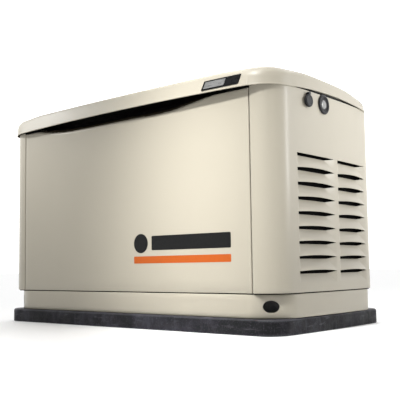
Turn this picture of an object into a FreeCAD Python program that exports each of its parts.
import FreeCAD, Part
import math
import os
from FreeCAD import Vector, Rotation, Placement

# Home standby generator: a steel enclosure on a composite pad, with a V-twin
# engine, an alternator, a muffler, a battery and a controller inside.
# Millimetres. +X is the exhaust end, -Y the front, +Z up.
# The origin is at the middle of the pad's underside.

# ---- driving dimensions: enclosure ----
HALF_LENGTH = 600.0
HALF_DEPTH = 290.0
END_BOW = 10.6
CORNER_RADIUS = 73.0
SHEET = 2.0
PAD_HEIGHT = 45.0
PAD_FRONT = -305.0
PAD_REAR = 319.0
PAD_CORNER = 65.0
PAD_EDGE = 5.0
PAD_END_BOW = 8.0
BASE_TOP = 110.0
BASE_CUT_LONG = 94.0
BASE_CUT_SHORT = 62.0
BASE_WALL = 3.0
BASE_FLOOR_TOP = PAD_HEIGHT + BASE_WALL
BASE_RIM = 22.0
CORNER_SPLIT = 776.0
HOLE_ALONG = 50.0
HOLE_RADIUS = 16.5
HOLE_HALF_FLAT = 5.5
HOLE_Z = 77.0
HOLE_REACH = 40.0
CORNERS = ((-1, -1), (-1, 1), (1, -1), (1, 1))
CONDUIT_X = 300.0
CONDUIT_Z = 80.0
CONDUIT_RADIUS = 17.5
SEAM_X = 506.0
SEAM_GAP = 3.0
PANEL_BOTTOM = BASE_TOP + SEAM_GAP
PANEL_TOP = 690.0
FLANGE = 14.0

# ---- driving dimensions: front panel ----
FRONT_TOP = 682.0
FRONT_RETURN = 16.0
SCOOP_DEPTH = 25.0
SCOOP_LOW = 657.0
SCOOP_FLAT = (-300.0, 215.0)
SCOOP_ENDS = (-440.0, 425.0)

# ---- driving dimensions: marks on the front ----
EMBLEM_THICKNESS = 0.8
EMBLEM_X = (54.0, 436.0)
STRIPE_Z = (200.0, 222.0)
BAR_START = 130.0
BAR_Z = (240.0, 284.0)
SPOT_X = 84.0
SPOT_Z = 262.0
SPOT_RADIUS = 30.0

# ---- driving dimensions: lid ----
LID_HALF_LENGTH = 606.0
LID_FRONT = -323.0
LID_REAR = 298.0
LID_FRONT_BOW = 14.0
LID_CORNER = 80.0
LID_LEAN = 13.0
LID_SKIN = 3.0
LID_LOW = 683.0
LID_FRONT_ARCH = 5.0
LID_REAR_ARCH = 16.0
LID_END_ARCH = 12.0
LID_TOP = 741.0
LID_CROWN_DROPS = ((-330.0, 1.5), (-200.0, 0.0), (-60.0, 1.0), (90.0, 5.5), (220.0, 12.0), (305.0, 20.0))
LID_ROLL = 16.0
HINGE_Y = 305.0
HINGE_Z = 690.0
HINGE_X = (-380.0, 380.0)
HINGE_HALF = 40.0
HINGE_PIN_RADIUS = 3.0
KNUCKLE_RADIUS = 6.0
KNUCKLE_START = 14.0
SEAL_TOP = 694.0

# ---- driving dimensions: louvers ----
LOUVER_PITCH = 41.4
LOUVER_ROWS = 9
LOUVER_TOP = 502.7
LOUVER_DEPTH = 18.0
LOUVER_GAP = 8.0
LOUVER_COLUMNS = ((-189.0, 11.0), (31.0, 210.0))
INTAKE_HALF_WIDTH = 205.0
INTAKE_Z = (150.0, 560.0)
INTAKE_COLUMNS = ((-180.0, -10.0), (10.0, 180.0))
INTAKE_LOUVER_TOP = 530.0
INTAKE_ROWS = 8
REAR_ROWS = 8
REAR_SLOT_Z = 200.0
REAR_SLOT_PITCH = 40.0
REAR_SLOT_HEIGHT = 14.0
REAR_SLOT_WIDTH = 120.0
REAR_SLOT_X = (110.0, 250.0)
REAR_HOOD_DEPTH = 13.0

# ---- driving dimensions: lock and status light ----
LOCK_Y = -134.0
LOCK_Z = 656.0
LOCK_PIVOT_Z = 677.0
LOCK_BARREL_RADIUS = 8.0
LOCK_HOLE_RADIUS = 12.0
LOCK_COVER_RADIUS = 18.5
COVER_X = (601.2, 607.2)
COVER_LUG_RADIUS = 6.5
COVER_PIN_RADIUS = 3.0
LENS_Y = -44.0
LENS_Z = 660.0
LENS_BEZEL_RADIUS = 29.5
LENS_RADIUS = 19.0
LENS_HOLE_RADIUS = 21.0
CAM_REACH = 34.0
STRIKER_Y = (-118.0, -92.0)
STRIKER_X = 577.0
STRIKER_Z = (640.0, 643.0)

# ---- driving dimensions: engine and alternator ----
SHAFT_Y = 20.0
SHAFT_Z = 300.0
MAIN_JOURNAL = 20.0
END_JOURNAL = 15.0
RUNNING_CLEARANCE = 0.05
CASE_X = (-30.0, 150.0)
CYLINDERS = ((35.0, -1.0), (85.0, 1.0))
BARREL_START = 133.0
BARREL_END = 213.0
HEAD_END = 256.0
COVER_END = 290.0
CYLINDER_BORE = 38.0
FIN_RADIUS = 50.0
FIN_COUNT = 9
FIN_THICKNESS = 3.0
PORT_REACH = 166.0
PORT_Z = 462.0
FLYWHEEL_X = (162.0, 182.0)
RING_GEAR_RADIUS = 134.0
RING_GEAR_TEETH = 96
FAN_BLADES = 16
FAN_END = 214.0
SHROUD_X = (158.0, 238.0)
SHROUD_RADIUS = 150.0
STATOR_X = (-300.0, -110.0)
STATOR_RADIUS = 125.0
STATOR_BORE = 88.0
ROTOR_RADIUS = 87.0
END_BRACKET_X = -330.0
STARTER_Y = 150.0
STARTER_Z = 215.0
STARTER_RADIUS = 36.0
STARTER_SHAFT_RADIUS = 6.0
PINION_RADIUS = 18.0
PINION_ROOT = 14.0
PINION_TEETH = 11
DIPSTICK_X = 132.0
MIXER_X = 60.0
MIXER_Z = 537.0
AIRBOX = (-20.0, 150.0, -60.0, 100.0)
AIRBOX_Z = 560.0
AIRBOX_TOP = 612.0

# ---- driving dimensions: other interior pieces ----
DIVIDER_X = 424.0
MUFFLER_X = 508.0
MUFFLER_Z = 440.0
MUFFLER_RADIUS = 65.0
MUFFLER_Y = (-200.0, 235.0)
EXHAUST_PIPE_RADIUS = 16.0
BATTERY_X = (245.0, 419.0)
BATTERY_Y = (-264.0, -58.0)
BATTERY_TOP = 241.0
POST_RADIUS = 8.5
POST_INSET_X = 30.0
POST_INSET_Y = 26.0
CONSOLE_X = (250.0, 424.0)
CONSOLE_PROFILE = ((-265.0, 470.0), (-100.0, 470.0), (-100.0, 640.0), (-190.0, 640.0), (-265.0, 570.0))
CONSOLE_HOLLOW = ((-262.0, 473.0), (-103.0, 473.0), (-103.0, 637.0), (-191.0, 630.0), (-262.0, 565.0))
BREAKER_X = (300.0, 352.0)
BREAKER_Y = (-182.0, -112.0)
BREAKER_TOP = 664.0
FACE_CENTRE = Vector(337, -227.5, 605)
FACE_TILT = math.degrees(math.atan2(70.0, 75.0))
KEY_SIZE = 13.0
KEY_PLACES = {"menu_key_up": (26.0, 16.0), "menu_key_down": (26.0, -8.0)}
SWITCH_PLACE = (62.0, 4.0)
SWITCH_HALF = (9.0, 16.0)
SMALL_PIN_RADIUS = 2.0
ANCHOR_X = 520.0
ANCHOR_Y = 240.0
ANCHOR_RADIUS = 7.0
FUEL_X = -440.0
FUEL_Z = 170.0
FUEL_PIPE_RADIUS = 13.35

X_AXIS = Vector(1, 0, 0)
Y_AXIS = Vector(0, 1, 0)
Z_AXIS = Vector(0, 0, 1)


def box(x0, x1, y0, y1, z0, z1):
    return Part.makeBox(x1 - x0, y1 - y0, z1 - z0, Vector(x0, y0, z0))


def rod(start, end, radius):
    start = Vector(*start)
    run = Vector(*end) - start
    return Part.makeCylinder(radius, run.Length, start, run)


def tube(start, end, outer, inner):
    return rod(start, end, outer).cut(rod(start, end, inner))


def fused(shapes):
    return shapes[0].fuse(shapes[1:]).removeSplitter() if len(shapes) > 1 else shapes[0]


def save(name, shape):
    solids = shape.Solids
    out = solids[0] if len(solids) == 1 else Part.makeCompound(solids)
    if not out.isValid():
        print("not valid:", name)
    out.exportStep("parts/%s.step" % name)
    extent = out.optimalBoundingBox(False)
    print("%-20s solids %2d  volume %10.0f  z %6.1f to %6.1f" % (
        name, len(solids), out.Volume, extent.ZMin, extent.ZMax))


def prism(points, direction):
    """Extrude a closed outline given as a list of points."""
    wire = Part.makePolygon([Vector(*p) for p in points] + [Vector(*points[0])])
    return Part.Face(wire).extrude(Vector(*direction))


def plan_block(half_x, front, rear, radius, z0, z1, end_bow=END_BOW, front_bow=0.0):
    """Block whose ends bow outward, and whose front may bow too, with round corners."""
    corner_x = half_x - end_bow
    middle = (front + rear) / 2
    front_left = Vector(-corner_x, front + front_bow, z0)
    front_right = Vector(corner_x, front + front_bow, z0)
    rear_right = Vector(corner_x, rear, z0)
    rear_left = Vector(-corner_x, rear, z0)
    if front_bow > 0:
        front_edge = Part.Arc(front_left, Vector(0, front, z0), front_right).toShape()
    else:
        front_edge = Part.LineSegment(front_left, front_right).toShape()
    right_edge = Part.Arc(front_right, Vector(half_x, middle, z0), rear_right).toShape()
    rear_edge = Part.LineSegment(rear_right, rear_left).toShape()
    left_edge = Part.Arc(rear_left, Vector(-half_x, middle, z0), front_left).toShape()
    face = Part.Face(Part.Wire([front_edge, right_edge, rear_edge, left_edge]))
    block = face.extrude(Vector(0, 0, z1 - z0))
    upright = [e for e in block.Edges
               if abs(e.BoundBox.ZLength - (z1 - z0)) < 0.01 and e.BoundBox.XLength < 0.01]
    return block.makeFillet(radius, upright)


def body_block(inset, z0, z1):
    """The enclosure's outline, moved inward by inset."""
    return plan_block(HALF_LENGTH - inset, -HALF_DEPTH + inset, HALF_DEPTH - inset,
                      CORNER_RADIUS - inset, z0, z1)


def end_surface_x(y):
    """X of the enclosure's bowed right end at a given Y."""
    return HALF_LENGTH - END_BOW * (y / HALF_DEPTH) ** 2


# ---- pad and base ----

def mounting_pad():
    pad = plan_block(HALF_LENGTH, PAD_FRONT, PAD_REAR, PAD_CORNER, 0, PAD_HEIGHT, end_bow=PAD_END_BOW)
    top_edges = [e for e in pad.Edges if e.BoundBox.ZMin > PAD_HEIGHT - 0.1]
    pad = pad.makeFillet(PAD_EDGE, top_edges)
    for sx, sy in CORNERS:
        x, y = sx * ANCHOR_X, sy * ANCHOR_Y
        pad = pad.cut(rod((x, y, -1), (x, y, PAD_HEIGHT + 1), ANCHOR_RADIUS))
    return pad


def facet_normal():
    """Outward direction of the front right corner facet, given for positive X and Y."""
    return Vector(BASE_CUT_SHORT, BASE_CUT_LONG, 0).normalize()


def chamfered_block(inset, z0, z1):
    """Base outline: bowed ends, straight front, corners cut by slanted facets."""
    block = plan_block(HALF_LENGTH - inset, -HALF_DEPTH + inset, HALF_DEPTH - inset, 4.0, z0, z1)
    normal = facet_normal()
    offset = normal.x * (HALF_LENGTH - BASE_CUT_LONG) + normal.y * HALF_DEPTH - inset
    x, y = HALF_LENGTH - inset + 1, HALF_DEPTH - inset + 1
    x_end, y_end = (offset - normal.y * y) / normal.x, (offset - normal.x * x) / normal.y
    for sx, sy in CORNERS:
        block = block.cut(prism([(sx * x, sy * y, z0 - 1), (sx * x_end, sy * y, z0 - 1),
                                 (sx * x, sy * y_end, z0 - 1)], (0, 0, z1 - z0 + 2)))
    return block


def lifting_hole(sx, sy):
    """Oval cutter square to a corner facet."""
    normal = facet_normal()
    outward = Vector(sx * normal.x, sy * normal.y, 0)
    along = Vector(sx * normal.y, -sy * normal.x, 0)
    centre = Vector(sx * (HALF_LENGTH - BASE_CUT_LONG), sy * HALF_DEPTH, HOLE_Z) + along * HOLE_ALONG
    start = centre - outward * HOLE_REACH
    rounds = [Part.makeCylinder(HOLE_RADIUS, 2 * HOLE_REACH, start + along * shift, outward)
              for shift in (-HOLE_HALF_FLAT, HOLE_HALF_FLAT)]
    corners = [start + along * (a * HOLE_HALF_FLAT) + Z_AXIS * (b * HOLE_RADIUS)
               for a, b in ((-1, -1), (1, -1), (1, 1), (-1, 1))]
    return fused(rounds + [prism(corners, outward * 2 * HOLE_REACH)])


def corner_zone(sx, sy):
    """Everything outside a diagonal plane across one corner of the base."""
    far_x, far_y = HALF_LENGTH + 40, HALF_DEPTH + 40
    low = PAD_HEIGHT - 1
    return prism([(sx * far_x, sy * far_y, low), (sx * far_x, sy * (CORNER_SPLIT - far_x), low),
                  (sx * (CORNER_SPLIT - far_y), sy * far_y, low)], (0, 0, BASE_TOP - PAD_HEIGHT + 2))


def whole_base():
    """Pan with a turned-in rim, before the corners are made separate."""
    tray = chamfered_block(0, PAD_HEIGHT, BASE_TOP)
    tray = tray.cut(chamfered_block(BASE_WALL, BASE_FLOOR_TOP, BASE_TOP + 1))
    rim = chamfered_block(0, BASE_TOP - BASE_WALL, BASE_TOP).cut(
        chamfered_block(BASE_RIM, BASE_TOP - BASE_WALL - 1, BASE_TOP + 1))
    return tray.fuse(rim)


def base_tray():
    tray = whole_base()
    for sx, sy in CORNERS:
        anchor = rod((sx * ANCHOR_X, sy * ANCHOR_Y, PAD_HEIGHT - 1),
                     (sx * ANCHOR_X, sy * ANCHOR_Y, BASE_FLOOR_TOP + 1), ANCHOR_RADIUS)
        tray = tray.cut(corner_zone(sx, sy)).cut(anchor)
    inside, outside = HALF_DEPTH - 20, HALF_DEPTH + 5
    return tray.cut(rod((CONDUIT_X, inside, CONDUIT_Z), (CONDUIT_X, outside, CONDUIT_Z), CONDUIT_RADIUS))


def lifting_corners():
    """Four pressed corner pieces of the base, each with its lifting hole."""
    whole = whole_base()
    corners = [whole.common(corner_zone(sx, sy)).cut(lifting_hole(sx, sy)) for sx, sy in CORNERS]
    return Part.makeCompound(corners)


# ---- panels ----

def side_shell(sign):
    """One wrap-round end sheet, from the front seam round to the rear seam."""
    wall = body_block(0, PANEL_BOTTOM, PANEL_TOP).cut(body_block(SHEET, PANEL_BOTTOM - 1, PANEL_TOP + 1))
    top = body_block(0, PANEL_TOP - SHEET, PANEL_TOP).cut(
        body_block(FLANGE, PANEL_TOP - SHEET - 1, PANEL_TOP + 1))
    bottom = body_block(0, PANEL_BOTTOM, PANEL_BOTTOM + SHEET).cut(
        body_block(FLANGE, PANEL_BOTTOM - 1, PANEL_BOTTOM + SHEET + 1))
    edge = SEAM_X + SEAM_GAP
    if sign > 0:
        keep = box(edge, 700, -400, 400, 0, 800)
    else:
        keep = box(-700, -edge, -400, 400, 0, 800)
    shell = wall.fuse([top, bottom]).common(keep)
    tongue = box(*sorted((sign * SCOOP_ENDS[1], sign * (edge + 1))), -HALF_DEPTH, -HALF_DEPTH + SHEET,
                 FRONT_TOP + 1.5, PANEL_TOP)
    shelf = box(*sorted((sign * SCOOP_ENDS[1], sign * (edge + 1))), -HALF_DEPTH, -HALF_DEPTH + FLANGE,
                PANEL_TOP - SHEET, PANEL_TOP)
    return shell.fuse([tongue, shelf])


def louver_bank(y0, y1, top, rows):
    """Window cutter and blades of one louver column on the right end."""
    x0, x1 = end_surface_x(y0), end_surface_x(y1)
    turn = math.degrees(math.atan2(x0 - x1, y1 - y0))
    width = math.hypot(x1 - x0, y1 - y0)
    low = top - rows * LOUVER_PITCH + LOUVER_GAP * 0.5
    window = box(-LOUVER_DEPTH - 3, 6, 0, width, low, top)
    pieces = [box(-LOUVER_DEPTH, -1.0, -SHEET, 0.5, low - 2, top + 2),
              box(-LOUVER_DEPTH, -1.0, width - 0.5, width + SHEET, low - 2, top + 2)]
    for row in range(rows):
        foot = top - (row + 1) * LOUVER_PITCH
        if row == rows - 1:
            foot = low - 1
        head = top - row * LOUVER_PITCH - LOUVER_GAP
        profile = [(0, 0, foot), (-SHEET, 0, foot), (-LOUVER_DEPTH, 0, head - 1),
                   (-LOUVER_DEPTH + SHEET, 0, head)]
        pieces.append(prism(profile, (0, width, 0)))
    bank = fused(pieces)
    place = Placement(Vector(x0, y0, 0), Rotation(Z_AXIS, turn))
    window.Placement = place
    bank.Placement = place
    return window, bank


def right_side_panel():
    shell = side_shell(1)
    for y0, y1 in LOUVER_COLUMNS:
        window, bank = louver_bank(y0, y1, LOUVER_TOP, LOUVER_ROWS)
        shell = shell.cut(window).fuse(bank)
    shell = shell.cut(rod((560, LOCK_Y, LOCK_Z), (620, LOCK_Y, LOCK_Z), LOCK_HOLE_RADIUS))
    return shell.cut(rod((560, LENS_Y, LENS_Z), (620, LENS_Y, LENS_Z), LENS_HOLE_RADIUS))


def left_side_panel():
    shell = side_shell(-1)
    shell = shell.cut(box(-640, -560, -INTAKE_HALF_WIDTH, INTAKE_HALF_WIDTH, INTAKE_Z[0], INTAKE_Z[1]))
    return shell.cut(rod((-560, LOCK_Y, LOCK_Z), (-620, LOCK_Y, LOCK_Z), LOCK_HOLE_RADIUS))


def intake_panel():
    """Removable louvered sheet that closes the opening in the left end."""
    gap = 1.5
    sheet = body_block(0, INTAKE_Z[0] + gap, INTAKE_Z[1] - gap).cut(body_block(SHEET, 0, 800))
    half = INTAKE_HALF_WIDTH - gap
    sheet = sheet.common(box(560, 640, -half, half, 0, 800))
    for y0, y1 in INTAKE_COLUMNS:
        window, bank = louver_bank(y0, y1, INTAKE_LOUVER_TOP, INTAKE_ROWS)
        sheet = sheet.cut(window).fuse(bank)
    return sheet.mirror(Vector(0, 0, 0), X_AXIS)


def rear_panel():
    front = HALF_DEPTH - SHEET
    panel = box(-SEAM_X, SEAM_X, front, HALF_DEPTH, PANEL_BOTTOM, PANEL_TOP)
    top = box(-SEAM_X, SEAM_X, HALF_DEPTH - FLANGE, HALF_DEPTH, PANEL_TOP - SHEET, PANEL_TOP)
    panel = panel.fuse(top)
    for row in range(REAR_ROWS):
        z = REAR_SLOT_Z + REAR_SLOT_PITCH * row
        for x0 in REAR_SLOT_X:
            head = z + REAR_SLOT_HEIGHT
            slot = box(x0, x0 + REAR_SLOT_WIDTH, front - 2, HALF_DEPTH + 2, z, head)
            hood = prism([(x0, front + 1, z - 3), (x0, front + 1, z), (x0, front - REAR_HOOD_DEPTH, head + 2),
                          (x0, front - REAR_HOOD_DEPTH, head)], (REAR_SLOT_WIDTH, 0, 0))
            panel = panel.cut(slot).fuse(hood)
    return panel.cut(rod((FUEL_X, front - 5, FUEL_Z), (FUEL_X, HALF_DEPTH + 5, FUEL_Z), FUEL_PIPE_RADIUS + 2))


def scoop_block(grow):
    """Five-faced block of the scoop's hollow, grown by the sheet's thickness for its outside."""
    face_y = -HALF_DEPTH
    back = face_y + SCOOP_DEPTH + grow
    low = SCOOP_LOW - 1.5 * grow
    far_left = Vector(SCOOP_ENDS[0] - 3 * grow, face_y, FRONT_TOP)
    far_right = Vector(SCOOP_ENDS[1] + 3 * grow, face_y, FRONT_TOP)
    low_left = Vector(SCOOP_FLAT[0] - grow, face_y, low)
    low_right = Vector(SCOOP_FLAT[1] + grow, face_y, low)
    back_left = Vector(SCOOP_FLAT[0] - grow + 20, back, FRONT_TOP)
    back_right = Vector(SCOOP_FLAT[1] + grow - 20, back, FRONT_TOP)
    outlines = [(far_left, low_left, low_right, far_right), (far_left, far_right, back_right, back_left),
                (low_left, back_left, back_right, low_right), (far_left, back_left, low_left),
                (low_right, back_right, far_right)]
    faces = [Part.Face(Part.makePolygon(list(corners) + [corners[0]])) for corners in outlines]
    return Part.makeSolid(Part.makeShell(faces))


def front_panel():
    half = SEAM_X - SEAM_GAP
    outer = -HALF_DEPTH
    left_end, right_end = SCOOP_ENDS
    sheet = box(-half, half, outer, outer + SHEET, PANEL_BOTTOM, FRONT_TOP)
    returns = [box(-half, -half + SHEET, outer, outer + FRONT_RETURN, PANEL_BOTTOM, FRONT_TOP),
               box(half - SHEET, half, outer, outer + FRONT_RETURN, PANEL_BOTTOM, FRONT_TOP),
               box(-half, half, outer, outer + FRONT_RETURN, PANEL_BOTTOM, PANEL_BOTTOM + SHEET),
               box(-half, left_end - 20, outer, outer + FRONT_RETURN, FRONT_TOP - SHEET, FRONT_TOP),
               box(right_end + 20, half, outer, outer + FRONT_RETURN, FRONT_TOP - SHEET, FRONT_TOP)]
    solid = sheet.fuse(returns + [scoop_block(SHEET)]).cut(scoop_block(0))
    return solid.removeSplitter()


def front_emblem():
    """Plain flat marks on the front, with no lettering: a long stripe, a bar over it and a round spot."""
    face = -HALF_DEPTH
    proud = face - EMBLEM_THICKNESS
    stripe = box(EMBLEM_X[0], EMBLEM_X[1], proud, face, *STRIPE_Z)
    bar = box(BAR_START, EMBLEM_X[1], proud, face, *BAR_Z)
    spot = rod((SPOT_X, face, SPOT_Z), (SPOT_X, proud, SPOT_Z), SPOT_RADIUS)
    return Part.makeCompound([stripe, spot, bar])


# ---- lid ----

def lid_plan(inset, z):
    """Lid outline as a wire at one height."""
    block = plan_block(LID_HALF_LENGTH - inset, LID_FRONT + inset, LID_REAR - inset, LID_CORNER - inset,
                       z, z + 1, front_bow=LID_FRONT_BOW)
    faces = [f for f in block.Faces if f.BoundBox.ZMax < z + 0.01]
    return faces[0].OuterWire


def lid_envelope(inset):
    """Solid under the crowned top, with walls that lean inward and a rolled top edge."""
    low, high = LID_LOW - 3, LID_TOP + 6
    walls = Part.makeLoft([lid_plan(inset, low), lid_plan(inset + LID_LEAN, high)], True, True)
    crown = [Vector(-700, y, LID_TOP - inset - drop) for y, drop in LID_CROWN_DROPS]
    profile = Part.BSplineCurve()
    profile.interpolate(crown)
    outline = [crown[-1], Vector(-700, crown[-1].y, low - 10), Vector(-700, crown[0].y, low - 10), crown[0]]
    edges = [profile.toShape()]
    edges += [Part.LineSegment(a, b).toShape() for a, b in zip(outline, outline[1:])]
    solid = walls.common(Part.Face(Part.Wire(edges)).extrude(Vector(1400, 0, 0)))
    rim = [e for e in solid.Edges if e.BoundBox.ZMin > LID_LOW + 20]
    return solid.makeFillet(LID_ROLL - inset, rim)


def arch_cutter(half_span, height, axis, near, far):
    """Shallow arc segment under the lid's edge, extruded along axis from near to far."""
    across = Vector(axis.y, axis.x, 0)
    start = axis * near + Z_AXIS * LID_LOW
    left, right = start - across * half_span, start + across * half_span
    arc = Part.Arc(left, start + Z_AXIS * height, right).toShape()
    chord = Part.LineSegment(right, left).toShape()
    return Part.Face(Part.Wire([arc, chord])).extrude(axis * (far - near))


def roof_lid():
    outer = lid_envelope(0)
    shell = outer.cut(lid_envelope(LID_SKIN))
    shell = shell.cut(box(-700, 700, -400, 400, 600, LID_LOW))
    shell = shell.cut(arch_cutter(520, LID_FRONT_ARCH, Y_AXIS, -400, -230))
    shell = shell.cut(arch_cutter(520, LID_REAR_ARCH, Y_AXIS, 230, 400))
    shell = shell.cut(arch_cutter(230, LID_END_ARCH, X_AXIS, -700, 700))
    rim = body_block(8, SEAL_TOP + 0.5, 760).cut(body_block(12, 600, 800))
    middle = box(-515, 515, -400, 400, 600, 800)
    ribs = rim.cut(middle)
    bosses = [box(sx * 588 - 12, sx * 588 + 12, STRIKER_Y[0] - 6, STRIKER_Y[1] + 6, SEAL_TOP + 0.5, 760)
              for sx in (-1, 1)]
    inside = lid_envelope(1.0)
    added = ribs.fuse(bosses).common(inside)
    return shell.fuse(added)


def lid_strikers():
    """Hooks under the lid that the two lock cams turn into."""
    hooks = []
    for sx in (-1, 1):
        plate_x = sorted((sx * STRIKER_X, sx * (STRIKER_X + 3)))
        tab_x = sorted((sx * (STRIKER_X - 11), sx * (STRIKER_X + 3)))
        plate = box(plate_x[0], plate_x[1], STRIKER_Y[0], STRIKER_Y[1], STRIKER_Z[0], SEAL_TOP + 0.5)
        tab = box(tab_x[0], tab_x[1], STRIKER_Y[0], STRIKER_Y[1], STRIKER_Z[0], STRIKER_Z[1])
        hooks.append(plate.fuse(tab).removeSplitter())
    return Part.makeCompound(hooks)


def lid_badge():
    """Slanted plate on the lid's front, plain, set on the leaning skin."""
    tilt = math.degrees(math.atan2(LID_LEAN, LID_TOP + 6 - LID_LOW + 3))
    outline = [(-69, 0, -14), (60, 0, -14), (69, 0, 14), (-60, 0, 14)]
    plate = prism(outline, (0, -3, 0))
    plate.rotate(Vector(0, 0, 0), X_AXIS, -tilt)
    plate.rotate(Vector(0, 0, 0), Z_AXIS, 1.9)
    x, z = 426.0, 706.0
    bow = LID_FRONT_BOW * (x / (LID_HALF_LENGTH - END_BOW)) ** 2
    lean = LID_LEAN * (z - LID_LOW + 3) / (LID_TOP - LID_LOW + 9)
    plate.translate(Vector(x, LID_FRONT + bow + lean + 0.5, z))
    return plate.cut(lid_envelope(0))


def hinge_axis(x0, x1, radius):
    """Round solid on the hinge line."""
    return rod((x0, HINGE_Y, HINGE_Z), (x1, HINGE_Y, HINGE_Z), radius)


def hinge_frame_leaves():
    """Outer knuckles on the rear panel, each hinge with its pressed-in pin as a solid of its own."""
    solids = []
    for x in HINGE_X:
        end = HINGE_HALF
        pieces = [box(x - end, x + end, HALF_DEPTH, HALF_DEPTH + 3, 640, 684)]
        for x0, x1 in ((x - end, x - KNUCKLE_START), (x + KNUCKLE_START, x + end)):
            arm = box(x0, x1, HALF_DEPTH, HINGE_Y + KNUCKLE_RADIUS, 680, 686)
            barrel = hinge_axis(x0, x1, KNUCKLE_RADIUS).cut(hinge_axis(x0, x1, HINGE_PIN_RADIUS))
            link = box(x0, x1, HINGE_Y - KNUCKLE_RADIUS, HINGE_Y + KNUCKLE_RADIUS, 683, HINGE_Z)
            pieces += [arm, link.cut(hinge_axis(x0, x1, KNUCKLE_RADIUS - 0.1)), barrel]
        pin = hinge_axis(x - end, x + end, HINGE_PIN_RADIUS).fuse(hinge_axis(x - end - 3, x - end, 5.0))
        solids += [fused(pieces), pin]
    return Part.makeCompound(solids)


def hinge_lid_leaves():
    leaves = []
    lean = LID_LEAN / (LID_TOP + 9 - LID_LOW)
    for x in HINGE_X:
        x0, x1 = x - KNUCKLE_START + 0.5, x + KNUCKLE_START - 0.5
        bore = hinge_axis(x0, x1, HINGE_PIN_RADIUS + RUNNING_CLEARANCE)
        barrel = hinge_axis(x0, x1, KNUCKLE_RADIUS).cut(bore)
        base = LID_REAR - lean * 10
        top = LID_REAR - lean * 26
        plate = prism([(x0, base, 694), (x0, HINGE_Y - 1, 694), (x0, HINGE_Y - 1, 697), (x0, top + 3, 706),
                       (x0, top, 706)], (x1 - x0, 0, 0))
        arm = box(x0, x1, HINGE_Y - 5, HINGE_Y + 1, 693, 697).cut(hinge_axis(x0, x1, KNUCKLE_RADIUS - 0.1))
        leaves.append(fused([barrel, plate, arm]))
    return Part.makeCompound(leaves)


def lid_seal():
    ring = body_block(3, PANEL_TOP, SEAL_TOP).cut(body_block(13, 600, 800))
    return ring.cut(box(-515, 515, -400, 400, 600, 800))


# ---- locks and status light ----

def across_end(sx, x0, x1, y, z, radius):
    """Round solid along X in the right end (sx 1) or its mirror in the left end (sx -1)."""
    return rod((sx * x0, y, z), (sx * x1, y, z), radius)


def lock_bezels():
    """Collar round each lock barrel, with the pivot pin of its weather cover."""
    out = []
    surface = end_surface_x(LOCK_Y) + 0.6
    outside = surface + 2.2
    fit = LOCK_BARREL_RADIUS + RUNNING_CLEARANCE
    for sx in (-1, 1):
        bore = across_end(sx, surface - 15, outside + 1, LOCK_Y, LOCK_Z, fit)
        collar = across_end(sx, surface - 14, outside, LOCK_Y, LOCK_Z, LOCK_HOLE_RADIUS).cut(bore)
        flange = across_end(sx, surface, outside, LOCK_Y, LOCK_Z, LOCK_HOLE_RADIUS + 3).cut(bore)
        pin = across_end(sx, surface, 610, LOCK_Y, LOCK_PIVOT_Z, COVER_PIN_RADIUS)
        head = across_end(sx, 608, 610, LOCK_Y, LOCK_PIVOT_Z, COVER_PIN_RADIUS + 2)
        web_x = sorted((sx * surface, sx * outside))
        web = box(web_x[0], web_x[1], LOCK_Y - 4, LOCK_Y + 4, LOCK_Z + LOCK_HOLE_RADIUS, LOCK_PIVOT_Z + 3)
        out.append(fused([collar, flange, web, pin, head]))
    return Part.makeCompound(out)


def lock_cam(sx):
    """Lock barrel and arm. The arm rests pointing up, and a quarter turn lays it over the striker's tab."""
    plug = across_end(sx, 570, 600.2, LOCK_Y, LOCK_Z, LOCK_BARREL_RADIUS)
    key_x = sorted((sx * 594, sx * 601))
    keyway = box(key_x[0], key_x[1], LOCK_Y - 1, LOCK_Y + 1, LOCK_Z - 5, LOCK_Z + 5)
    arm_x = sorted((sx * 570, sx * 574))
    arm = box(arm_x[0], arm_x[1], LOCK_Y - 7, LOCK_Y + 7, LOCK_Z, LOCK_Z + CAM_REACH)
    return plug.cut(keyway).fuse(arm)


def lock_cover(sx):
    disc = across_end(sx, COVER_X[0], COVER_X[1], LOCK_Y, LOCK_Z, LOCK_COVER_RADIUS)
    lug = across_end(sx, COVER_X[0], COVER_X[1], LOCK_Y, LOCK_PIVOT_Z, COVER_LUG_RADIUS)
    hole = across_end(sx, 600, 609, LOCK_Y, LOCK_PIVOT_Z, COVER_PIN_RADIUS + RUNNING_CLEARANCE)
    return disc.fuse(lug).cut(hole)


def status_bezel():
    surface = HALF_LENGTH + 0.05
    ring = tube((surface, LENS_Y, LENS_Z), (606, LENS_Y, LENS_Z), LENS_BEZEL_RADIUS, LENS_RADIUS)
    neck = tube((surface - 12, LENS_Y, LENS_Z), (surface, LENS_Y, LENS_Z), LENS_HOLE_RADIUS, LENS_RADIUS)
    return ring.fuse(neck)


def status_lens():
    return rod((590, LENS_Y, LENS_Z), (603.5, LENS_Y, LENS_Z), LENS_RADIUS)


# ---- engine ----

def along_cylinder(x, side, start, end, radius):
    """Round solid on a cylinder's own axis, measured out from the shaft."""
    lean = math.sqrt(0.5)
    a = (x, SHAFT_Y + side * start * lean, SHAFT_Z + start * lean)
    b = (x, SHAFT_Y + side * end * lean, SHAFT_Z + end * lean)
    return rod(a, b, radius)


def tilted_box(x, side, start, end, half_x, half_y):
    """Box on a cylinder's own axis."""
    block = box(-half_x, half_x, -half_y, half_y, start, end)
    block.Placement = Placement(Vector(x, SHAFT_Y, SHAFT_Z), Rotation(X_AXIS, -45.0 * side))
    return block


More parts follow.
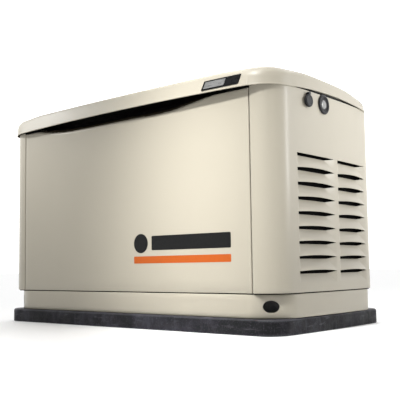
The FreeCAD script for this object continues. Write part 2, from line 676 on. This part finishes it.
def crankcase():
    y0, y1, z0, z1 = SHAFT_Y - 90, SHAFT_Y + 90, 205.0, 395.0
    case = box(CASE_X[0], CASE_X[1], y0, y1, z0, z1)
    long_edges = [e for e in case.Edges if abs(e.BoundBox.XLength - (CASE_X[1] - CASE_X[0])) < 0.1]
    case = case.makeFillet(22.0, long_edges)
    for x, side in CYLINDERS:
        case = case.fuse(along_cylinder(x, side, 60, BARREL_START, 52))
    case = case.cut(box(CASE_X[0] + 22, CASE_X[1] - 22, y0 + 9, y1 - 9, z0 + 9, z1 - 12))
    for x, side in CYLINDERS:
        case = case.cut(along_cylinder(x, side, 50, BARREL_START + 1, CYLINDER_BORE))
    case = case.cut(rod((CASE_X[0] - 1, SHAFT_Y, SHAFT_Z), (CASE_X[1] + 1, SHAFT_Y, SHAFT_Z),
                        MAIN_JOURNAL + RUNNING_CLEARANCE))
    neck = tube((DIPSTICK_X, y0 - 22, 330), (DIPSTICK_X, y0 - 22, 470), 9.0, 5.5)
    boss = box(DIPSTICK_X - 10, DIPSTICK_X + 10, y0 - 32, y0, 318, 345).cut(
        rod((DIPSTICK_X, y0 - 22, 322), (DIPSTICK_X, y0 - 22, 350), 5.5))
    return case.fuse([neck, boss])


def cylinder_barrels():
    out = []
    for x, side in CYLINDERS:
        barrel = along_cylinder(x, side, BARREL_START, BARREL_END, 46)
        pitch = (BARREL_END - BARREL_START - FIN_THICKNESS) / (FIN_COUNT - 1)
        starts = [BARREL_START + i * pitch for i in range(FIN_COUNT)]
        fins = [along_cylinder(x, side, start, start + FIN_THICKNESS, FIN_RADIUS) for start in starts]
        hollow = along_cylinder(x, side, BARREL_START - 1, BARREL_END + 1, CYLINDER_BORE)
        out.append(barrel.fuse(fins).cut(hollow))
    return Part.makeCompound(out)


def cylinder_heads():
    out = []
    for x, side in CYLINDERS:
        head = tilted_box(x, side, BARREL_END, HEAD_END, 46, 40)
        plates = [tilted_box(x, side, BARREL_END + 4 + 10 * i, BARREL_END + 7 + 10 * i, 54, 48)
                  for i in range(4)]
        out.append(head.fuse(plates))
    return Part.makeCompound(out)


def valve_covers():
    out = []
    for x, side in CYLINDERS:
        cover = tilted_box(x, side, HEAD_END, COVER_END, 46, 36)
        rim = [e for e in cover.Edges if abs(e.Length - (COVER_END - HEAD_END)) < 0.1]
        out.append(cover.makeFillet(12.0, rim))
    return Part.makeCompound(out)


def spark_plugs():
    """Plug, boot and lead stub on the left side of each head."""
    out = []
    for x, side in CYLINDERS:
        lean = math.sqrt(0.5)
        reach = 234.0
        y, z = SHAFT_Y + side * reach * lean, SHAFT_Z + reach * lean
        start = x - 54
        body = rod((start, y, z), (start - 20, y, z), 10)
        boot = rod((start - 20, y, z), (start - 52, y, z), 8)
        out.append(body.fuse(boot))
    return Part.makeCompound(out)


def intake_manifold():
    centre = (MIXER_X, SHAFT_Y, 500)
    plenum = rod((MIXER_X, SHAFT_Y, 484), (MIXER_X, SHAFT_Y, 514), 26)
    pieces = [plenum]
    for x, side in CYLINDERS:
        lean = math.sqrt(0.5)
        reach, off = 241.0, 48.0
        y = SHAFT_Y + side * (reach - off) * lean
        z = SHAFT_Z + (reach + off) * lean
        pieces.append(rod((x, y, z), centre, 12))
    return fused(pieces)


def fuel_mixer():
    body = rod((MIXER_X, SHAFT_Y, 514), (MIXER_X, SHAFT_Y, AIRBOX_Z), 30)
    neck = rod((MIXER_X - 48, SHAFT_Y, MIXER_Z), (MIXER_X, SHAFT_Y, MIXER_Z), 14)
    pin = rod((MIXER_X, SHAFT_Y - 28, MIXER_Z), (MIXER_X, SHAFT_Y - 48, MIXER_Z), 4)
    return fused([body, neck, pin])


def throttle_lever():
    y0, y1 = SHAFT_Y - 42, SHAFT_Y - 38
    hub = rod((MIXER_X, y0 - 2, MIXER_Z), (MIXER_X, y1, MIXER_Z), 8)
    arm = box(MIXER_X, MIXER_X + 28, y0, y1, MIXER_Z - 4, MIXER_Z + 4)
    tip = rod((MIXER_X + 28, y0, MIXER_Z), (MIXER_X + 28, y1, MIXER_Z), 5)
    hole = rod((MIXER_X, y0 - 5, MIXER_Z), (MIXER_X, y1 + 5, MIXER_Z), 4 + RUNNING_CLEARANCE)
    return fused([hub, arm, tip]).cut(hole)


def air_cleaner_box():
    x0, x1, y0, y1 = AIRBOX
    floor = AIRBOX_Z + 3
    shell = box(x0, x1, y0, y1, AIRBOX_Z, AIRBOX_TOP).cut(box(x0 + 3, x1 - 3, y0 + 3, y1 - 3, floor, 700))
    element = box(x0 + 14, x1 - 14, y0 + 14, y1 - 14, floor, floor + 38)
    return Part.makeCompound([shell, element.cut(box(x0 + 34, x1 - 34, y0 + 34, y1 - 34, floor - 1, 700))])


def air_cleaner_cover():
    x0, x1, y0, y1 = AIRBOX
    top = AIRBOX_TOP + 34
    cover = box(x0 - 3, x1 + 3, y0 - 3, y1 + 3, AIRBOX_TOP + 0.4, top)
    edges = [e for e in cover.Edges if e.BoundBox.ZMin > top - 1]
    cover = cover.makeFillet(8.0, edges)
    return cover.cut(box(x0 + 2, x1 - 2, y0 + 2, y1 - 2, AIRBOX_TOP, top - 4))


def oil_filter():
    can = rod((110, SHAFT_Y - 90, 255), (110, SHAFT_Y - 178, 255), 38)
    edge = [e for e in can.Edges if e.BoundBox.YMax < SHAFT_Y - 177]
    return can.makeFillet(6.0, edge)


def oil_dipstick():
    y = SHAFT_Y - 112
    blade = rod((DIPSTICK_X, y, 345), (DIPSTICK_X, y, 471), 2.5)
    cap = rod((DIPSTICK_X, y, 470.3), (DIPSTICK_X, y, 486), 11)
    grip = box(DIPSTICK_X - 16, DIPSTICK_X + 16, y - 3, y + 3, 486, 500)
    return fused([blade, cap, grip])


def blower_housing():
    x0, x1 = SHROUD_X
    drum = tube((x0, SHAFT_Y, SHAFT_Z), (x1, SHAFT_Y, SHAFT_Z), SHROUD_RADIUS, SHROUD_RADIUS - 2)
    face = tube((x1 - 2, SHAFT_Y, SHAFT_Z), (x1, SHAFT_Y, SHAFT_Z), SHROUD_RADIUS, 92)
    notch = box(x0 - 1, x0 + 30, STARTER_Y - 45, STARTER_Y + 45, STARTER_Z - 60, STARTER_Z + 40)
    scroll = box(CASE_X[1], x0 + 2, SHAFT_Y - 60, SHAFT_Y + 60, 396, 446)
    scroll = scroll.cut(box(CASE_X[1] - 1, x0 + 3, SHAFT_Y - 57, SHAFT_Y + 57, 399, 443))
    foot = box(x0 + 20, x1 - 20, SHAFT_Y - 14, SHAFT_Y + 14, 140, 152)
    return drum.fuse([face, foot]).cut(notch).fuse(scroll)


def starter_motor():
    can = rod((-5, STARTER_Y, STARTER_Z), (112, STARTER_Y, STARTER_Z), STARTER_RADIUS)
    nose = rod((112, STARTER_Y, STARTER_Z), (134, STARTER_Y, STARTER_Z), 27)
    shaft = rod((134, STARTER_Y, STARTER_Z), (156, STARTER_Y, STARTER_Z), STARTER_SHAFT_RADIUS)
    ear = box(112, 122, SHAFT_Y + 90, STARTER_Y, 205, 240)
    solenoid = rod((10, STARTER_Y + 10, STARTER_Z + 56), (85, STARTER_Y + 10, STARTER_Z + 56), 20)
    saddle = box(30, 60, STARTER_Y, STARTER_Y + 20, STARTER_Z + 30, STARTER_Z + 45)
    return fused([can, nose, shaft, ear, solenoid, saddle])


def gear_solid(x0, x1, y, z, root, tip, teeth, bore):
    """Straight gear with flat-topped teeth along X."""
    points = []
    for i in range(teeth):
        for share, radius in ((-0.30, root), (-0.16, tip), (0.16, tip), (0.30, root)):
            angle = 2 * math.pi * (i + share) / teeth
            points.append((x0, y + radius * math.cos(angle), z + radius * math.sin(angle)))
    return prism(points, (x1 - x0, 0, 0)).cut(rod((x0 - 1, y, z), (x1 + 1, y, z), bore))


def starter_pinion():
    bore = STARTER_SHAFT_RADIUS + RUNNING_CLEARANCE
    gear = gear_solid(140, 154, STARTER_Y, STARTER_Z, PINION_ROOT, PINION_RADIUS, PINION_TEETH, bore)
    hub = tube((135, STARTER_Y, STARTER_Z), (140, STARTER_Y, STARTER_Z), 11, bore)
    return gear.fuse(hub)


def crankshaft():
    y, z = SHAFT_Y, SHAFT_Z
    left = rod((-360, y, z), (-300, y, z), END_JOURNAL)
    middle = rod((-300, y, z), (30, y, z), MAIN_JOURNAL)
    right = rod((100, y, z), (FLYWHEEL_X[1] + 26, y, z), MAIN_JOURNAL)
    throw = 32.0
    webs = []
    for x0, x1 in ((30, 42), (88, 100)):
        webs.append(rod((x0, y, z), (x1, y, z), 30))
        webs.append(box(x0, x1, y - 22, y + 22, z - 48, z + throw))
    pin = rod((42, y, z + throw - 4), (88, y, z + throw - 4), 18)
    return fused([left, middle, right, pin] + webs)


def rotor():
    x0, x1 = STATOR_X[0] + 5, STATOR_X[1] - 5
    core = tube((x0, SHAFT_Y, SHAFT_Z), (x1, SHAFT_Y, SHAFT_Z), ROTOR_RADIUS, MAIN_JOURNAL)
    for middle in (SHAFT_Z - 70, SHAFT_Z + 70):
        slot = box(x0 - 1, x1 + 1, SHAFT_Y - 22, SHAFT_Y + 22, middle - 24, middle + 24)
        core = core.cut(slot)
    fan = tube((x1, SHAFT_Y, SHAFT_Z), (x1 + 4, SHAFT_Y, SHAFT_Z), 80, MAIN_JOURNAL)
    return core.fuse(fan)


def flywheel_fan():
    x0, x1 = FLYWHEEL_X
    disc = tube((x0, SHAFT_Y, SHAFT_Z), (x1, SHAFT_Y, SHAFT_Z), RING_GEAR_RADIUS - 6, MAIN_JOURNAL)
    ring = gear_solid(x0, x0 + 9, SHAFT_Y, SHAFT_Z, RING_GEAR_RADIUS - 4, RING_GEAR_RADIUS,
                      RING_GEAR_TEETH, RING_GEAR_RADIUS - 12)
    blades = []
    for i in range(FAN_BLADES):
        blade = box(x1 - 1, FAN_END, -1.5, 1.5, 62, 120)
        blade.Placement = Placement(Vector(0, SHAFT_Y, SHAFT_Z), Rotation(X_AXIS, 360.0 * i / FAN_BLADES))
        blades.append(blade)
    back = tube((x1, SHAFT_Y, SHAFT_Z), (x1 + 3, SHAFT_Y, SHAFT_Z), 122, MAIN_JOURNAL)
    rim = tube((FAN_END - 3, SHAFT_Y, SHAFT_Z), (FAN_END, SHAFT_Y, SHAFT_Z), 120, 80)
    return fused([disc, ring, back, rim] + blades)


def stator():
    x0, x1 = STATOR_X
    core = tube((x0, SHAFT_Y, SHAFT_Z), (x1, SHAFT_Y, SHAFT_Z), STATOR_RADIUS, STATOR_BORE)
    coil_left = tube((x0 - 16, SHAFT_Y, SHAFT_Z), (x0, SHAFT_Y, SHAFT_Z), 112, 92)
    coil_right = tube((x1, SHAFT_Y, SHAFT_Z), (x1 + 16, SHAFT_Y, SHAFT_Z), 112, 92)
    return core.fuse([coil_left, coil_right])


def alternator_brackets():
    y, z = SHAFT_Y, SHAFT_Z
    adapter = tube((STATOR_X[1], y, z), (CASE_X[0], y, z), STATOR_RADIUS, 117)
    plate = tube((CASE_X[0] - 8, y, z), (CASE_X[0], y, z), STATOR_RADIUS, 40)
    adapter = adapter.fuse(plate)
    for a, b in ((-140, -100), (100, 140)):
        adapter = adapter.cut(box(-95, -52, y - 18, y + 18, z + a, z + b))
        adapter = adapter.cut(box(-95, -52, y + a, y + b, z - 18, z + 18))
    x0 = END_BRACKET_X
    ring = tube((x0, y, z), (STATOR_X[0], y, z), STATOR_RADIUS, 117)
    hub = tube((x0 - 12, y, z), (x0 + 10, y, z), 34, END_JOURNAL + RUNNING_CLEARANCE)
    spokes = []
    for i in range(6):
        spoke = box(x0, x0 + 6, -11, 11, 30, 120)
        spoke.Placement = Placement(Vector(0, y, z), Rotation(X_AXIS, 60.0 * i))
        spokes.append(spoke)
    end = fused([ring, hub] + spokes)
    return Part.makeCompound([adapter, end])


def engine_cradle():
    rails = [box(-330, 200, y - 20, y + 20, 110, 140) for y in (-60.0, 100.0)]
    ties = [box(x - 20, x + 20, -60, 100, 114, 136) for x in (-270.0, 60.0, 190.0)]
    saddle = box(-290, -130, -40, 80, 140, 190).cut(
        rod((-300, SHAFT_Y, SHAFT_Z), (-100, SHAFT_Y, SHAFT_Z), STATOR_RADIUS))
    posts = [box(10, 110, y - 14, y + 14, 140, 205) for y in (-46.0, 86.0)]
    return fused(rails + ties + [saddle] + posts + [box(-290, -130, -60, 100, 136, 140)])


def vibration_mounts():
    out = []
    for x in (-290.0, 160.0):
        for y in (-60.0, 100.0):
            foot = rod((x, y, BASE_FLOOR_TOP), (x, y, BASE_FLOOR_TOP + 6), 30)
            cone = Part.makeCone(27, 20, 110 - BASE_FLOOR_TOP - 6, Vector(x, y, BASE_FLOOR_TOP + 6), Z_AXIS)
            out.append(foot.fuse(cone))
    return Part.makeCompound(out)


# ---- exhaust ----

def bent_tube(points, radius):
    """Round tube along straight runs joined by tangent arcs."""
    nodes = [Vector(*p) for p in points]
    edges = []
    start = nodes[0]
    for before, here, after in zip(nodes, nodes[1:], nodes[2:]):
        d1, d2 = (here - before), (after - here)
        run = min(d1.Length, d2.Length)
        d1.normalize()
        d2.normalize()
        turn = d1.getAngle(d2)
        trim = 0.45 * run
        arc_radius = trim / math.tan(turn / 2)
        p1, p2 = here - d1 * trim, here + d2 * trim
        inward = d2 - d1
        inward.normalize()
        centre = here + inward * (arc_radius / math.cos(turn / 2))
        middle = centre - inward * arc_radius
        edges.append(Part.LineSegment(start, p1).toShape())
        edges.append(Part.Arc(p1, middle, p2).toShape())
        start = p2
    edges.append(Part.LineSegment(start, nodes[-1]).toShape())
    path = Part.Wire(edges)
    first = nodes[1] - nodes[0]
    section = Part.Wire(Part.makeCircle(radius, nodes[0], first))
    solid = path.makePipeShell([section], True, True)
    expected = math.pi * radius * radius * path.Length
    if abs(solid.Volume - expected) > 0.03 * expected:
        print("tube volume off by", solid.Volume / expected)
    return solid


def exhaust_pipes():
    out = []
    for x, side in CYLINDERS:
        y = SHAFT_Y + side * PORT_REACH
        route = [(x + 54, y, PORT_Z), (x + 110, y, PORT_Z), (x + 180, y, MUFFLER_Z),
                 (MUFFLER_X - MUFFLER_RADIUS + 4, y, MUFFLER_Z)]
        out.append(bent_tube(route, EXHAUST_PIPE_RADIUS))
    tail = bent_tube([(MUFFLER_X, SHAFT_Y, MUFFLER_Z - MUFFLER_RADIUS + 3), (MUFFLER_X, SHAFT_Y, 310),
                      (MUFFLER_X + 56, SHAFT_Y, 262)], 20)
    return Part.makeCompound(out + [tail])


def muffler():
    y0, y1 = MUFFLER_Y
    can = rod((MUFFLER_X, y0, MUFFLER_Z), (MUFFLER_X, y1, MUFFLER_Z), MUFFLER_RADIUS)
    ends = [e for e in can.Edges if e.BoundBox.YLength < 0.1]
    can = can.makeFillet(12.0, ends)
    for x, side in CYLINDERS:
        y = SHAFT_Y + side * PORT_REACH
        inlet = rod((MUFFLER_X - 90, y, MUFFLER_Z), (MUFFLER_X - 61, y, MUFFLER_Z), EXHAUST_PIPE_RADIUS)
        can = can.cut(inlet)
    can = can.cut(rod((MUFFLER_X, SHAFT_Y, 300), (MUFFLER_X, SHAFT_Y, MUFFLER_Z - MUFFLER_RADIUS + 3), 20))
    bands = []
    for y in (y0 + 105, y1 - 105):
        band = tube((MUFFLER_X, y - 12, MUFFLER_Z), (MUFFLER_X, y + 12, MUFFLER_Z), MUFFLER_RADIUS + 2.5,
                    MUFFLER_RADIUS - 1)
        foot = box(DIVIDER_X + SHEET, MUFFLER_X - 40, y - 12, y + 12, 376, 381)
        bands += [band, foot]
    return fused([can] + bands)


def divider_wall():
    wall = box(DIVIDER_X, DIVIDER_X + SHEET, -266, 266, BASE_FLOOR_TOP, 640)
    floor_flange = box(DIVIDER_X - 18, DIVIDER_X + SHEET, 0, 266, BASE_FLOOR_TOP, BASE_FLOOR_TOP + SHEET)
    roof = box(DIVIDER_X, 560, -250, 250, 600, 600 + SHEET)
    wall = wall.fuse([floor_flange, roof])
    for x, side in CYLINDERS:
        y = SHAFT_Y + side * PORT_REACH
        hole = rod((DIVIDER_X - 5, y, MUFFLER_Z), (DIVIDER_X + 8, y, MUFFLER_Z), EXHAUST_PIPE_RADIUS + 5)
        wall = wall.cut(hole)
    return wall


# ---- battery, controller, fuel ----

def battery():
    x0, x1 = BATTERY_X
    y0, y1 = BATTERY_Y
    case = box(x0, x1, y0, y1, BASE_FLOOR_TOP, BATTERY_TOP - 24)
    lid = box(x0 - 2, x1 + 2, y0 - 2, y1 + 2, BATTERY_TOP - 24, BATTERY_TOP)
    caps = [box(x0 + 20, x1 - 20, y0 + start, y0 + start + 44, BATTERY_TOP, BATTERY_TOP + 5)
            for start in (30, 92)]
    y = y1 - POST_INSET_Y
    posts = [rod((x, y, BATTERY_TOP - 2), (x, y, BATTERY_TOP + 16), POST_RADIUS)
             for x in (x0 + POST_INSET_X, x1 - POST_INSET_X)]
    return fused([case, lid] + caps + posts)


def battery_strap():
    x0, x1 = BATTERY_X
    y = BATTERY_Y[0] + 52
    bar = box(x0 - 8, x1 + 4, y - 7, y + 7, BATTERY_TOP + 5.2, BATTERY_TOP + 9)
    rods = [rod((x0 - 5, y, BASE_FLOOR_TOP), (x0 - 5, y, BATTERY_TOP + 18), 2.5)]
    nut = rod((x0 - 5, y, BATTERY_TOP + 9), (x0 - 5, y, BATTERY_TOP + 14), 6)
    return fused([bar, nut] + rods)


def battery_cables():
    """Clamps on the two posts, with the starter lead and the ground lead."""
    near, far = BATTERY_X[0] + POST_INSET_X, BATTERY_X[1] - POST_INSET_X
    y = BATTERY_Y[1] - POST_INSET_Y
    z = BATTERY_TOP + 8
    clamps = [tube((x, y, BATTERY_TOP + 2), (x, y, BATTERY_TOP + 14), 14, POST_RADIUS) for x in (near, far)]
    starter_route = [(near, y - 13, z), (near - 9, y - 52, z + 9), (238, -152, 263), (212, -163, 244),
                     (178, -164, 212), (142, -134, 184), (129, -70, 171), (127, 10, 169), (126, 84, 166),
                     (110, 128, 160), (80, 149, 158), (62, 150, 179)]
    ground_route = [(far, y - 13, z), (far - 16, y - 54, z + 9), (310, -172, 264), (236, -178, 264),
                    (182, -164, 250), (152, -138, 230), (139, -108, 220), (139, SHAFT_Y - 90, 220)]
    return Part.makeCompound(clamps + [bent_tube(starter_route, 5.0), bent_tube(ground_route, 5.0)])


def on_console(shape):
    """Place a shape drawn on a flat panel onto the console's sloping face."""
    placed = shape.copy()
    placed.Placement = Placement(FACE_CENTRE, Rotation(X_AXIS, FACE_TILT))
    return placed


def controller_housing():
    profile = [(CONSOLE_X[0], y, z) for y, z in CONSOLE_PROFILE]
    body = prism(profile, (CONSOLE_X[1] - CONSOLE_X[0], 0, 0))
    hollow = [(CONSOLE_X[0] + 3, y, z) for y, z in CONSOLE_HOLLOW]
    body = body.cut(prism(hollow, (CONSOLE_X[1] - CONSOLE_X[0] - 6, 0, 0)))
    plate = box(-84, 84, -46, 46, -9, -0.2)
    body = body.fuse(on_console(plate))
    half = KEY_SIZE / 2 + 0.4
    for x, y in KEY_PLACES.values():
        body = body.cut(on_console(box(x - half, x + half, y - half, y + half, -6, 4)))
    sx, sy = SWITCH_PLACE
    hx, hy = SWITCH_HALF
    pocket = box(sx - hx - 0.5, sx + hx + 0.5, sy - hy - 1, sy + hy + 1, -8, 4)
    body = body.cut(on_console(pocket))
    pin = rod((sx - hx - 1, sy, 0), (sx + hx + 1, sy, 0), SMALL_PIN_RADIUS)
    display = box(-70, 2, -30, 30, -3, 4)
    body = body.fuse(on_console(pin)).cut(on_console(display))
    return body.cut(box(BREAKER_X[0], BREAKER_X[1], BREAKER_Y[0], BREAKER_Y[1], 620, 660))


def display_window():
    return on_console(box(-69.6, 1.6, -29.6, 29.6, -3, 0.6))


def menu_key(name):
    x, y = KEY_PLACES[name]
    half = KEY_SIZE / 2
    return on_console(box(x - half, x + half, y - half, y + half, -4.5, 3.0))


def mode_switch():
    """Three-position rocker on a cross pin."""
    sx, sy = SWITCH_PLACE
    hx, hy = SWITCH_HALF
    outline = ((-hy, 1.5), (0, -1.0), (hy, 1.5), (hy - 2, 7.0), (0, 4.5), (2 - hy, 7.0))
    rocker = prism([(sx - hx, sy + y, z) for y, z in outline], (2 * hx, 0, 0))
    hub = rod((sx - hx, sy, 0), (sx + hx, sy, 0), 4.2)
    hole = rod((sx - hx - 2, sy, 0), (sx + hx + 2, sy, 0), SMALL_PIN_RADIUS + RUNNING_CLEARANCE)
    return on_console(rocker.fuse(hub).cut(hole))


def breaker_housing():
    x0, x1 = BREAKER_X
    y0, y1 = BREAKER_Y
    middle_x, middle_y = (x0 + x1) / 2, (y0 + y1) / 2
    body = box(x0, x1, y0, y1, 600, BREAKER_TOP)
    pocket = box(middle_x - 8, middle_x + 8, middle_y - 17, middle_y + 17, BREAKER_TOP - 18, BREAKER_TOP + 1)
    pin = rod((middle_x - 9, middle_y, BREAKER_TOP - 8), (middle_x + 9, middle_y, BREAKER_TOP - 8),
              SMALL_PIN_RADIUS)
    return body.cut(pocket).fuse(pin)


def breaker_toggle():
    middle_x, middle_y = sum(BREAKER_X) / 2, sum(BREAKER_Y) / 2
    pivot = BREAKER_TOP - 8
    hub = rod((middle_x - 7, middle_y, pivot), (middle_x + 7, middle_y, pivot), 7)
    handle = box(middle_x - 6, middle_x + 6, middle_y - 4, middle_y + 4, pivot, pivot + 28)
    hole = rod((middle_x - 9, middle_y, pivot), (middle_x + 9, middle_y, pivot),
               SMALL_PIN_RADIUS + RUNNING_CLEARANCE)
    return hub.fuse(handle).cut(hole)


def fuel_regulator():
    body = box(FUEL_X - 40, FUEL_X + 40, 180, 250, BASE_FLOOR_TOP + 60, 225)
    foot = box(FUEL_X - 30, FUEL_X + 30, 190, 240, BASE_FLOOR_TOP, BASE_FLOOR_TOP + 60)
    dome = rod((FUEL_X, 180, FUEL_Z), (FUEL_X, 152, FUEL_Z), 42)
    stub = rod((FUEL_X, 250, FUEL_Z), (FUEL_X, 292, FUEL_Z), FUEL_PIPE_RADIUS - 1.5)
    inlet = rod((FUEL_X, 292, FUEL_Z), (FUEL_X, 317, FUEL_Z), FUEL_PIPE_RADIUS)
    outlet = rod((FUEL_X, 215, 225), (FUEL_X, 215, 240), 13)
    return fused([body, foot, dome, stub, inlet, outlet])


def fuel_hose():
    route = [(FUEL_X, 215, 240), (FUEL_X, 215, 330), (FUEL_X + 20, 207, 430), (FUEL_X + 90, 180, 500),
             (FUEL_X + 180, 130, 530), (FUEL_X + 270, 70, 540), (FUEL_X + 360, SHAFT_Y, MIXER_Z),
             (MIXER_X - 48, SHAFT_Y, MIXER_Z)]
    return bent_tube(route, 11.0)


def wiring_harness():
    """Loom from the console along the rear of the engine bay to the alternator."""
    route = [(CONSOLE_X[0] + 20, -100, 500), (CONSOLE_X[0] + 20, -40, 500), (CONSOLE_X[0] - 5, 30, 504),
             (CONSOLE_X[0] - 38, 110, 508), (CONSOLE_X[0] - 46, 190, 506), (CONSOLE_X[0] - 78, 248, 500),
             (CONSOLE_X[0] - 160, 266, 496)]
    return bent_tube(route, 7.0)


def export_all():
    save("mounting_pad", mounting_pad())
    save("base_tray", base_tray())
    save("lifting_corners", lifting_corners())
    save("vibration_mounts", vibration_mounts())
    save("engine_cradle", engine_cradle())
    save("right_side_panel", right_side_panel())
    save("left_side_panel", left_side_panel())
    save("rear_panel", rear_panel())
    save("divider_wall", divider_wall())
    save("front_panel", front_panel())
    save("front_emblem", front_emblem())
    save("intake_panel", intake_panel())
    save("roof_lid", roof_lid())
    save("lid_badge", lid_badge())
    save("lid_strikers", lid_strikers())
    save("hinge_lid_leaves", hinge_lid_leaves())
    save("hinge_frame_leaves", hinge_frame_leaves())
    save("lid_seal", lid_seal())
    save("lock_bezels", lock_bezels())
    for side, sign in (("right", 1), ("left", -1)):
        save("lock_cam_" + side, lock_cam(sign))
        save("lock_cover_" + side, lock_cover(sign))
    save("status_bezel", status_bezel())
    save("status_lens", status_lens())
    save("crankcase", crankcase())
    save("cylinder_barrels", cylinder_barrels())
    save("cylinder_heads", cylinder_heads())
    save("valve_covers", valve_covers())
    save("spark_plugs", spark_plugs())
    save("intake_manifold", intake_manifold())
    save("fuel_mixer", fuel_mixer())
    save("throttle_lever", throttle_lever())
    save("air_cleaner_box", air_cleaner_box())
    save("air_cleaner_cover", air_cleaner_cover())
    save("oil_filter", oil_filter())
    save("oil_dipstick", oil_dipstick())
    save("blower_housing", blower_housing())
    save("starter_motor", starter_motor())
    save("starter_pinion", starter_pinion())
    save("crankshaft", crankshaft())
    save("alternator_rotor", rotor())
    save("flywheel_fan", flywheel_fan())
    save("alternator_stator", stator())
    save("alternator_brackets", alternator_brackets())
    save("exhaust_pipes", exhaust_pipes())
    save("muffler", muffler())
    save("battery", battery())
    save("battery_strap", battery_strap())
    save("battery_cables", battery_cables())
    save("controller_housing", controller_housing())
    save("display_window", display_window())
    for name in KEY_PLACES:
        save(name, menu_key(name))
    save("mode_switch", mode_switch())
    save("breaker_housing", breaker_housing())
    save("breaker_toggle", breaker_toggle())
    save("fuel_regulator", fuel_regulator())
    save("fuel_hose", fuel_hose())
    save("wiring_harness", wiring_harness())


os.makedirs("parts", exist_ok=True)
export_all()
